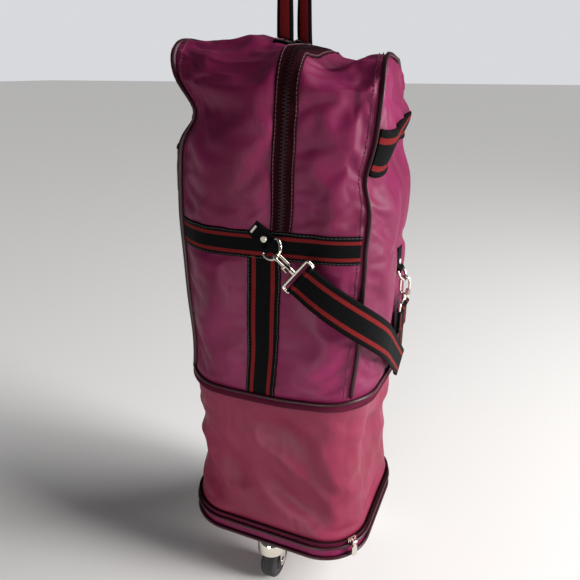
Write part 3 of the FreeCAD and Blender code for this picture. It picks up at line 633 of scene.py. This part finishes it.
def sewn_down(point):
    """True where the upper fabric is held by a seam, zipper or webbing."""
    front = point.y < 0
    flat_top = point.z > bag_top - 0.004
    by_rear_tab = abs(point.y - rear_bar.y) < 0.016 and abs(point.z - rear_tab_z) < 0.02
    return (
        point.z < panel_low + 0.010
        or abs(abs(point.x) - seam_x) < 0.0035
        or (abs(point.x - zip_x) < 0.012 and (point.z > zip_low - 0.005 or not front))
        or (front and abs(point.x) < seam_x and waist[0] - 0.002 < point.z < waist[1] + 0.002)
        or (front and vertical_low.x < point.x < vertical_high.x and point.z < waist[1])
        or (abs(point.x) > side_reach and side_band[0] + 0.004 < point.z < side_band[1] - 0.004)
        or (flat_top and abs(point.x - handle_low.x) < 0.022 and abs(abs(point.y) - handle_foot_y) < 0.02)
        or (point.x > half_width - 0.002 and by_rear_tab)
    )


def simulate(piece, is_held, spare, pressure, weight, steps, cap_out, cap_in):
    """Lets spare fabric buckle between the places where it is held, and caps how far a point moves."""
    rest = [vertex.co.copy() for vertex in piece.data.vertices]
    outward = [vertex.normal.copy() for vertex in piece.data.vertices]
    held = piece.vertex_groups.new(name="held")
    held.add([number for number, point in enumerate(rest) if is_held(point)], 1.0, "REPLACE")
    cloth = piece.modifiers.new("cloth", "CLOTH")
    cloth.settings.quality = 6
    cloth.settings.mass = 0.25
    cloth.settings.tension_stiffness = 20
    cloth.settings.compression_stiffness = 20
    cloth.settings.shear_stiffness = 8
    cloth.settings.bending_stiffness = 0.6
    cloth.settings.air_damping = 2.0
    cloth.settings.vertex_group_mass = "held"
    cloth.settings.shrink_min = -spare
    cloth.settings.use_pressure = pressure != 0
    cloth.settings.uniform_pressure_force = pressure
    cloth.settings.effector_weights.gravity = weight
    cloth.collision_settings.use_collision = False
    cloth.point_cache.frame_end = steps
    for step in range(1, steps + 1):
        bpy.context.scene.frame_set(step)
    worn = with_modifiers(piece)
    piece.modifiers.clear()
    piece.vertex_groups.clear()
    for number, vertex in enumerate(piece.data.vertices):
        move = worn.vertices[number].co - rest[number]
        along = move.dot(outward[number])
        sideways = move - along * outward[number]
        cap = cap_out if along > 0 else cap_in
        along = cap * math.tanh(along / cap)
        vertex.co = rest[number] + along * outward[number] + 0.8 * sideways
    piece.data.update()
    bpy.context.scene.frame_set(1)


form = upper_form()
form_points = [vertex.co.copy() for vertex in form.data.vertices]
form_normals = [vertex.normal.copy() for vertex in form.data.vertices]
form_faces = [tuple(face.vertices) for face in form.data.polygons]
form_tree = BVHTree.FromPolygons(form_points, form_faces)
plain_form = form.data.copy()
simulate(
    form, sewn_down, spare=0.055, pressure=1.2, weight=0.6, steps=26, cap_out=0.007, cap_in=0.018
)
worn_points = [vertex.co.copy() for vertex in form.data.vertices]
worn_normals = [vertex.normal.copy() for vertex in form.data.vertices]


def carried(point):
    """Where the worn fabric has taken a point on, or just off, the plain form."""
    nearest, _, face, _ = form_tree.find_nearest(point)
    around = form_faces[face]
    weights = poly_3d_calc([form_points[number] for number in around], nearest)
    place, before, after = Vector((0, 0, 0)), Vector((0, 0, 0)), Vector((0, 0, 0))
    for number, weight in zip(around, weights):
        place += weight * worn_points[number]
        before += weight * form_normals[number]
        after += weight * worn_normals[number]
    before.normalize()
    after.normalize()
    height = (point - nearest).dot(before)
    return place + height * after + (point - nearest - height * before)


def lay(piece):
    """Moves a piece made on the plain form on to the worn one."""
    for vertex in piece.data.vertices:
        vertex.co = settle(carried(vertex.co))
    piece.data.update()
    return piece


def snug(point, lift):
    """The point brought on to the plain form and lifted off it, and the outward direction there."""
    nearest, out, _, _ = form_tree.find_nearest(point)
    return nearest + lift * out, out


def ride_on(piece, body, slot, *nodes):
    """Makes a piece part of a body, in place of any nodes named."""
    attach(piece, body)
    if nodes:
        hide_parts(*nodes)


def on_upper(piece, slot, *nodes):
    ride_on(piece, "upper_body", slot, *nodes)


def panel(name, x_low, x_high, *nodes):
    """Panel of the upper bag between two upright planes."""
    bm = bmesh.new()
    bm.from_mesh(plain_form)
    cut_away(bm, (x_low, 0, 0), (-1, 0, 0))
    cut_away(bm, (x_high, 0, 0), (1, 0, 0))
    bmesh.ops.remove_doubles(bm, verts=bm.verts, dist=0.0006)
    piece = lay(new_piece(name, bm, panel_cloth))
    thicken(piece, cloth_thickness, smooth_levels=1)
    on_upper(piece, "coated_fabric", *nodes)


def upper_panels():
    """Side panels outside the seams, and the wrap panel's two halves beside the zipper."""
    wide = half_width + 0.02
    zip_gap = 0.0004
    panel("side_cloth_left", -wide, -seam_x, "side_panel_left")
    panel("wrap_cloth_left", -seam_x, zip_x - zip_gap, "wrap_panel_left")
    panel("wrap_cloth_right", zip_x + zip_gap, seam_x, "wrap_panel_right")
    panel("side_cloth_right", seam_x, wide, "side_panel_right")


def edge_piping(name, side):
    """Piping over the bag along one side seam, with a row of stitches beside it."""
    x = side * seam_x
    inner = side * (seam_x - edge_stitch_inset)
    stitch_lift = 0.0007
    piping = cord(
        "edge_cord_" + name,
        lambda share: snug(over_bag(x, seam_low, share)[0], piping_lift),
        Vector((1, 0, 0)),
        170,
    )
    on_upper(lay(piping), "piping", "edge_piping_" + name)
    row = stitch_row(
        "edge_stitches_" + name,
        over_length(inner, seam_low),
        lambda share: snug(over_bag(inner, seam_low, share)[0], stitch_lift),
        thread,
    )
    on_upper(lay(row), "piping")


def zip_stitches(name, x, length):
    row = stitch_row(name, length, lambda share: over_bag(x, zip_low, share, 0.0014), thread)
    on_upper(lay(row), "zip_tape")


def main_zipper():
    """Tape, two rows of teeth that mesh, and a stitched edge each side."""
    length = over_length(zip_x, zip_low)
    low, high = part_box("main_zip_tape")
    half = (high.x - low.x) / 2

    def on_tape(u, v):
        at = over_bag(zip_x, zip_low, u, zip_thickness)[0]
        return at + Vector(((v - 0.5) * 2 * half, 0, 0))

    bm = cloth_grid(180, 8, on_tape, length)
    face_outwards(bm, lambda point: point - Vector((0, 0, 0.5)))
    tape = lay(new_piece("main_zip_cloth", bm, zip_cloth))
    thicken(tape, zip_thickness)
    on_upper(tape, "zip_tape", "main_zip_tape")
    tooth_pitch, tooth_lift, tooth_shift = 0.0018, 0.0018, 0.0011
    count = int(length / tooth_pitch)

    def tooth(number):
        at, out = over_bag(zip_x, zip_low, (number + 0.5) / count, tooth_lift)
        return at + Vector((tooth_shift * (1 if number % 2 else -1), 0, 0)), Vector((1, 0, 0)), out

    coil = lay(blocks("main_zip_coil", count, tooth, (0.0042, 0.0012, 0.0016), teeth_plastic))
    on_upper(coil, "zip_teeth", "main_zip_teeth")
    for side, name in ((-1, "left"), (1, "right")):
        zip_stitches("main_zip_stitches_" + name, zip_x + side * (half - zip_stitch_inset), length)


def webbing(name, columns, place, length):
    """Flat striped webbing on the plain form, with its edges rounded down: place(u, v, lift)."""
    edge_drop = 0.0006

    def on_webbing(u, v):
        near_edge = min(v, 1 - v)
        lift = webbing_thickness - (edge_drop if near_edge < 0.02 else 0)
        return place(u, v, lift)

    bm = cloth_grid(columns, 12, on_webbing, length)
    face_outwards(bm, lambda point: point - Vector((0, 0, point.z)))
    piece = lay(new_piece(name, bm, striped_webbing))
    thicken(piece, webbing_thickness * 0.9)
    return piece


def webbing_stitches(name, length, place):
    on_upper(lay(stitch_row(name, length, place, black_thread)), "webbing")


def waist_band():
    """Band across the front, sewn along both its edges."""
    reach = straight_x + arc_reach(waist_reach - straight_x)
    top_of_band = webbing_thickness + 0.0002

    def along_front(u, z, lift):
        return round_bag(0.5 + (2 * u - 1) * reach / plan_length, z, lift)

    def on_waist(u, v, lift):
        return along_front(u, waist[0] + v * (waist[1] - waist[0]), lift)[0]

    def row_at(z):
        return lambda share: along_front(share, z, top_of_band)

    on_upper(webbing("waist_band", 70, on_waist, 2 * reach), "webbing", "waist_webbing")
    for z in (waist[0] + webbing_stitch_inset, waist[1] - webbing_stitch_inset):
        webbing_stitches("waist_stitches_%03d" % round(z * 1000), 2 * reach, row_at(z))


def upright_band():
    """Band from the waist down to the ring, sewn along both its edges."""
    length = waist[0] - vertical_low.z
    tucked = 0.004
    top_of_band = half_depth + webbing_thickness + 0.0002

    def on_vertical(u, v, lift):
        x = vertical_low.x + v * (vertical_high.x - vertical_low.x)
        return Vector((x, -half_depth - lift, vertical_low.z + u * (waist[0] + tucked - vertical_low.z)))

    def row_at(x):
        low = Vector((x, -top_of_band, vertical_low.z))
        return lambda share: (low + Vector((0, 0, share * length)), Vector((0, -1, 0)))

    on_upper(webbing("upright_band", 44, on_vertical, length), "webbing", "vertical_webbing")
    for x in (vertical_low.x + webbing_stitch_inset, vertical_high.x - webbing_stitch_inset):
        webbing_stitches("upright_stitches_%03d" % round(x * 1000 + 100), length, row_at(x))


def side_webbing(name, middle):
    """Band round one side, whose middle is at this share of the plan."""
    past = corner_radius - (half_width - side_reach)
    half = straight_y + corner_radius * math.acos(past / corner_radius)

    def on_side(u, v, lift):
        share = middle + (2 * u - 1) * half / plan_length
        return round_bag(share, side_band[0] + v * (side_band[1] - side_band[0]), lift)[0]

    on_upper(webbing("side_band_" + name, 60, on_side, 2 * half), "webbing", "side_webbing_" + name)


def zipper_ring(name, tape, teeth, body, nodes):
    """Half of the expansion zipper round the bag: tape and teeth."""
    upper = body == "upper_body"
    tooth_pitch = 0.0021
    tooth_lift = 0.0020 if upper else 0.0006

    def on_tape(u, v):
        flare = 0.0030 * (1 - v) if upper else 0.0016 * v
        return settle(round_bag(u, tape[0] + v * (tape[1] - tape[0]), flare)[0])

    bm = cloth_grid(220, 4, on_tape, plan_length, True)
    face_outwards(bm, from_middle)
    cloth = thicken(new_piece(name + "_tape", bm, ring_cloth), ring_tape_thickness)
    ride_on(cloth, body, "zip_tape", nodes[0])
    count = int(plan_length / tooth_pitch)
    middle = (teeth[0] + teeth[1]) / 2

    def tooth(number):
        at, out = round_bag(number / count, middle, tooth_lift)
        return settle(at), Vector((0, 0, 1)), out

    coil = blocks(name + "_teeth", count, tooth, (teeth[1] - teeth[0], 0.0013, tooth_radial), teeth_plastic)
    ride_on(coil, body, "zip_teeth", nodes[1])


def ring_piping(name, z, body, node):
    """Piping round the bag at one height."""
    piping = cord(name, lambda share: round_bag(share, z, ring_piping_lift), Vector((0, 0, 1)), 240, True)
    for vertex in piping.data.vertices:
        vertex.co = settle(vertex.co)
    ride_on(piping, body, "piping", node)


# Base and gusset


def gusset():
    """Expansion gusset: a crumpled tube of thin cloth that folds down inside the zipper."""
    tall = gusset_high - gusset_low
    held_low = band_top + 0.006
    held_high = upper_teeth[0] - 0.004

    def on_gusset(u, v):
        return round_bag(u, gusset_low + v * tall, -gusset_inset)[0]

    bm = cloth_grid(144, 38, on_gusset, plan_length, True)
    face_outwards(bm, from_middle)
    piece = new_piece("gusset_cloth", bm, gusset_cloth)
    piece.data.update()
    simulate(
        piece,
        lambda point: not held_low < point.z < held_high,
        spare=0.012,
        pressure=0.0,
        weight=1.6,
        steps=24,
        cap_out=0.0012,
        cap_in=0.010,
    )
    deepest = 0.010
    for vertex in piece.data.vertices:
        over_base = vertex.co.z - band_top - 0.01
        under_ring = upper_teeth[0] - 0.006 - vertex.co.z
        fade = min(1.0, max(0.0, min(over_base, under_ring) / 0.03))
        slant = Vector((vertex.co.x * 11, vertex.co.y * 11, (vertex.co.z + 0.6 * vertex.co.x) * 15))
        dent = 1.6 * abs(noise.noise(slant)) + 0.9 * abs(noise.noise(slant * 2.1)) + 0.1
        vertex.co -= deepest * fade * dent * from_middle(vertex.co).normalized()
        vertex.co = settle(vertex.co)
    thicken(piece, gusset_thickness, smooth_levels=1)
    finished = with_modifiers(piece)
    piece.modifiers.clear()
    piece.data = finished
    ride_on(piece, "base", "gusset_fabric", "expansion_gusset")
    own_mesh(piece)


def base_band():
    """Band round the base tray, drawn in a little between its two pipings."""
    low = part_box("base_band")[0].z
    tall = band_top - low
    inset, hollow, pucker_depth = -0.0006, 0.0012, 0.0007

    def on_band(u, v):
        around = 6.283 * u
        pucker = pucker_depth * noise.noise(Vector((40 * math.cos(around), 40 * math.sin(around), 3 * v)))
        grow = inset + pucker - hollow * math.sin(math.pi * v)
        return round_bag(u, low + v * tall, grow)[0]

    bm = cloth_grid(260, 8, on_band, plan_length, True)
    face_outwards(bm, from_middle)
    band = thicken(new_piece("base_band_cloth", bm, panel_cloth), 0.0018)
    ride_on(band, "base", "coated_fabric", "base_band")


def bottom_cloth():
    """Panel under the base tray."""

    def on_bottom(u, v):
        edge = round_bag(u, underside, -0.0005)[0]
        at = Vector((edge.x * v, edge.y * v, 0))
        return at + Vector((0, 0, underside + 0.0002 + 0.0005 * noise.noise(at * 25)))

    bm = cloth_grid(120, 30, on_bottom, plan_length, True)
    face_outwards(bm, lambda point: Vector((0, 0, -1)))
    bottom = thicken(new_piece("bottom_cloth", bm, panel_cloth), 0.002)
    ride_on(bottom, "base", "coated_fabric", "bottom_panel")


# Handle, tabs and strap


def handle_foot(name, side, x, half):
    """One sewn foot of the handle, with its box of stitches and their cross."""
    low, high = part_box("handle_anchors")
    reach = (high.y - low.y) / 2 - handle_foot_y
    middle = Vector((x, side * handle_foot_y, bag_top))
    stitch_half, stitch_reach, stitch_lift = half - 0.002, reach - 0.003, 0.0029

    def on_foot(u, v):
        bulge = 0.0022 * (1 - (2 * v - 1) ** 8)
        return middle + Vector(((2 * v - 1) * half, (2 * u - 1) * reach, 0.0004 + bulge))

    bm = cloth_grid(20, 12, on_foot, 2 * reach)
    face_outwards(bm, lambda point: Vector((0, 0, 1)))
    foot = lay(new_piece("handle_foot_" + name, bm, plain_webbing))
    thicken(foot, 0.0018)
    on_upper(foot, "black_webbing", "handle_anchors")

    def line(start, end):
        def on_line(share):
            across = (start[0] + share * (end[0] - start[0])) * stitch_half
            along = (start[1] + share * (end[1] - start[1])) * stitch_reach
            return middle + Vector((across, along, stitch_lift)), Vector((0, 0, 1))

        return on_line

    corners = [(-1, -1), (1, -1), (1, 1), (-1, 1), (-1, -1), (1, 1), (1, -1), (-1, 1)]
    rows = []
    for start, end in zip(corners, corners[1:]):
        on_line = line(start, end)
        run = (on_line(1)[0] - on_line(0)[0]).length
        rows.append(stitch_row("row", run, on_line, thread, foot_stitch_spacing, foot_stitch))
    on_upper(lay(join("handle_foot_stitches_" + name, rows)), "black_webbing")


def top_handle():
    """Folded webbing loop, its sewn feet and their box stitches."""
    x = (handle_low.x + handle_high.x) / 2
    half = (handle_high.x - handle_low.x) / 2
    crown = handle_high.z - handle_thickness / 2
    foot = handle_low.z
    arch = (handle_foot_y * math.pi / 2, -math.pi / 2)
    legs = [(crown - handle_foot_y - foot, 0), arch, arch, (crown - handle_foot_y - foot, 0)]
    length = sum(leg for leg, turn in legs)

    def on_handle(u, v):
        at, heading = walk((-handle_foot_y, foot), math.pi / 2, legs, u)
        out = Vector((0, math.cos(heading + math.pi / 2), math.sin(heading + math.pi / 2)))
        angle = 2 * math.pi * v
        side = math.copysign(abs(math.cos(angle)) ** 0.6, math.cos(angle))
        ply = math.copysign(abs(math.sin(angle)) ** 0.8, math.sin(angle))
        pinch = 1 - 0.22 * math.sin(math.pi * u) ** 2
        point = Vector((x, at.x, at.y)) + Vector((pinch * half * side, 0, 0))
        return settle(point + ply * handle_thickness / 2 * out)

    bm = cloth_grid(80, 24, on_handle, length, True)
    uv = bm.loops.layers.uv.active
    for face in bm.faces:
        for loop in face.loops:
            loop[uv].uv.y = 0.5 + 0.5 * math.cos(2 * math.pi * loop[uv].uv.y)
    bmesh.ops.holes_fill(bm, edges=[edge for edge in bm.edges if edge.is_boundary], sides=0)
    bmesh.ops.recalc_face_normals(bm, faces=bm.faces)
    handle = new_piece("handle_loop", bm, handle_webbing)
    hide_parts("top_handle")
    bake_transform(handle)
    handle_foot("front", -1, x, half)
    handle_foot("rear", 1, x, half)


def looped_tab(name, bar, hang, outward, node):
    """Tab of webbing folded round a ring's bar, both plies sewn to the bag behind it."""
    across = outward.cross(hang)
    length, half, radius, ply = 0.028, 0.0093, 0.0029, 0.0010
    turn = (radius * math.pi, -math.pi)
    legs = [(length, 0), turn, (length - 0.001, 0)]
    sewn_lift = -0.0019
    closing_length = 0.006

    def on_tab(u, v):
        at = walk((-length, radius), 0.0, legs, u)[0]
        closing = min(1.0, max(0.0, -at.x / closing_length))
        closing = closing * closing * (3 - 2 * closing)
        lift = at.y + closing * (sewn_lift + (0.0 if at.y > 0 else -ply) - at.y)
        return bar + at.x * hang + lift * outward + (2 * v - 1) * half * across

    bm = cloth_grid(48, 8, on_tab, 2 * length)
    bmesh.ops.recalc_face_normals(bm, faces=bm.faces)
    piece = new_piece(name, bm, plain_webbing)
    thicken(piece, ply, 0.0)
    on_upper(piece, "black_webbing", node)


# The strap's line laid out flat: along the front, round the right front corner and along the right side
corner_end = straight_x + (corner_radius + strap_lift) * math.pi / 2
strap_start = Vector((front_eye.x, front_eye.z))
fold_point = Vector((corner_end + straight_y + rear_eye.y, 0.318))
strap_way = (fold_point - strap_start).normalized()
strap_across = Vector((-strap_way.y, strap_way.x))
fold_line = (strap_way + Vector((0, 1))).normalized()
past_fold = Vector((fold_line.y, -fold_line.x))
down_length = (fold_point - strap_start).length
up_length = rear_eye.z - fold_point.y
fold_radius = 0.0021
eye_radius = 0.0030
face_lift = 0.0016
slack = 0.003


def on_strap(along, across, depth):
    """Point of the strap's ribbon, folded back once and wrapped round the bag's right front corner."""
    flat = strap_start + along * strap_way + across * strap_across
    beyond = (flat - fold_point).dot(past_fold)
    lift = strap_lift + face_lift + depth
    rise = 0.0
    if beyond <= 0:
        rise = slack * math.sin(math.pi * min(1.0, along / down_length))
    elif beyond < math.pi * fold_radius:
        bent = beyond / fold_radius
        flat = flat - beyond * past_fold + (fold_radius + depth) * math.sin(bent) * past_fold
        lift -= (fold_radius + depth) * (1 - math.cos(bent))
    else:
        flat = flat - beyond * past_fold - (beyond - math.pi * fold_radius) * past_fold
        lift -= 2 * (fold_radius + depth)
    share = 0.5 + min(flat.x, straight_x) / plan_length
    if flat.x > straight_x:
        arc = corner_radius * math.pi / 2
        turned = (flat.x - straight_x) * corner_radius / (corner_radius + strap_lift)
        share += (turned if turned < arc else arc + (flat.x - corner_end)) / plan_length
    return round_bag(share, flat.y, lift)[0] + Vector((0, 0, rise))


def strap_ribbon(start, end, depth, columns):
    """Ribbon of the strap between two distances along it."""

    def place(u, v):
        return on_strap(start + u * (end - start), (v - 0.5) * strap_width, depth)

    bm = cloth_grid(columns, 12, place, end - start)
    face_outwards(bm, from_middle)
    return bm


def strap_loop(name, eye, hang, outward):
    """Turn of the strap round a hook's eye."""
    across = outward.cross(hang)

    def on_loop(u, v):
        angle = 2 * math.pi * u
        spread = (2 * v - 1) * strap_width / 2
        return eye + eye_radius * (math.cos(angle) * hang + math.sin(angle) * outward) + spread * across

    bm = cloth_grid(24, 12, on_loop, 0.02, True)
    bmesh.ops.recalc_face_normals(bm, faces=bm.faces)
    loop = new_piece(name, bm, striped_webbing)
    return thicken(loop, 0.0012, 0.0)


def shoulder_strap():
    """Striped strap from hook to hook, with its ends sewn back round the hooks' eyes."""
    total = down_length + up_length
    body = new_piece("strap_ribbon", strap_ribbon(0.0, total, 0.0, 190), striped_webbing)
    pieces = [thicken(body, strap_thickness, 0.0)]
    for start, end, name in ((0.0005, 0.030, "front"), (total - 0.026, total - 0.0005, "rear")):
        ribbon = strap_ribbon(start, end, -fold_radius, 20)
        ply = new_piece("strap_turnback_" + name, ribbon, striped_webbing)
        pieces.append(thicken(ply, 0.0016, 0.0))
    pieces.append(strap_loop("strap_loop_front", front_eye, front_hang, Vector((0, -1, 0))))
    pieces.append(strap_loop("strap_loop_rear", rear_eye, rear_hang, Vector((1, 0, 0))))
    for piece in pieces:
        ride_on(piece, "shoulder_strap", "webbing")
    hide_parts("strap_webbing")


# Room


def put(name, data, place, turn):
    holder = bpy.data.objects.new(name, data)
    holder.location = place
    holder.rotation_euler = turn
    bpy.context.scene.collection.objects.link(holder)
    return holder


def softbox(name, place, aim_z, size, power, spread, colour):
    """Round soft light that looks at a height on the bag's middle line."""
    lamp = bpy.data.lights.new(name, "AREA")
    lamp.shape = "DISK"
    lamp.size = size
    lamp.energy = power
    lamp.spread = math.radians(spread)
    lamp.color = colour
    aim = Vector((0, 0, aim_z)) - Vector(place)
    put(name, lamp, place, aim.to_track_quat("-Z", "Y").to_euler())


def lights():
    """Large soft light from the right, a low one in front, and an even one from above on the right."""
    softbox("key", (2.4, 0.06, 0.95), 0.4, 0.8, 84.0, 180, (1.0, 0.98, 0.96))
    softbox("low_front", (0.1, -1.3, 0.22), 0.10, 0.5, 1.0, 60, (1.0, 0.98, 0.98))
    sky = bpy.data.lights.new("overhead", "SUN")
    sky.energy = 2.6
    sky.angle = math.radians(35)
    put("overhead", sky, (0, 0, 0), (math.radians(-12), math.radians(46), 0))


def walls():
    """Pale surroundings, which light the bag less than they show."""
    world = bpy.data.worlds.new("room")
    world.use_nodes = True
    nodes, links = world.node_tree.nodes, world.node_tree.links
    glow = nodes["Background"]
    glow.inputs["Color"].default_value = (0.86, 0.87, 0.9, 1)
    path = nodes.new("ShaderNodeLightPath")
    strength = nodes.new("ShaderNodeMapRange")
    strength.inputs["To Min"].default_value = 0.10
    strength.inputs["To Max"].default_value = 0.80
    links.new(path.outputs["Is Camera Ray"], strength.inputs["Value"])
    links.new(strength.outputs["Result"], glow.inputs["Strength"])
    bpy.context.scene.world = world


def room():
    """Pale floor, soft lights and the camera."""
    bm = bmesh.new()
    bmesh.ops.create_grid(bm, x_segments=1, y_segments=1, size=30.0)
    floor = new_piece("floor", bm, new_material("pale_floor", (0.74, 0.73, 0.72), 0.8))
    lights()
    walls()
    bpy.context.scene.view_settings.view_transform = "Standard"
    lens = bpy.data.cameras.new("camera")
    lens.sensor_width = 36.0
    lens.lens = 34.76
    turn = (math.radians(68.5), 0, math.radians(23))
    bpy.context.scene.camera = put("camera", lens, (0.2574, -0.6293, 0.674), turn)


room()
finish_frame_nodes()
upper_panels()
edge_piping("left", -1)
edge_piping("right", 1)
main_zipper()
waist_band()
upright_band()
side_webbing("left", 0.25)
side_webbing("right", 0.75)
zipper_ring("upper_zip", upper_tape, upper_teeth, "upper_body", ("upper_zip_tape", "upper_zip_teeth"))
zipper_ring("lower_zip", lower_tape, lower_teeth, "base", ("lower_zip_tape", "lower_zip_teeth"))
ring_piping("ring_cord", ring_piping_z, "upper_body", "ring_piping")
ring_piping("rim_cord", rim_piping_z, "base", "rim_piping")
ring_piping("base_cord", base_piping_z, "base", "base_piping")
gusset()
base_band()
bottom_cloth()
top_handle()
looped_tab("front_tab", front_bar, front_hang, Vector((0, -1, 0)), "front_ring_tab")
looped_tab("rear_tab", rear_bar, rear_hang, Vector((1, 0, 0)), "rear_ring_tab")
shoulder_strap()
bpy.data.objects.remove(form)
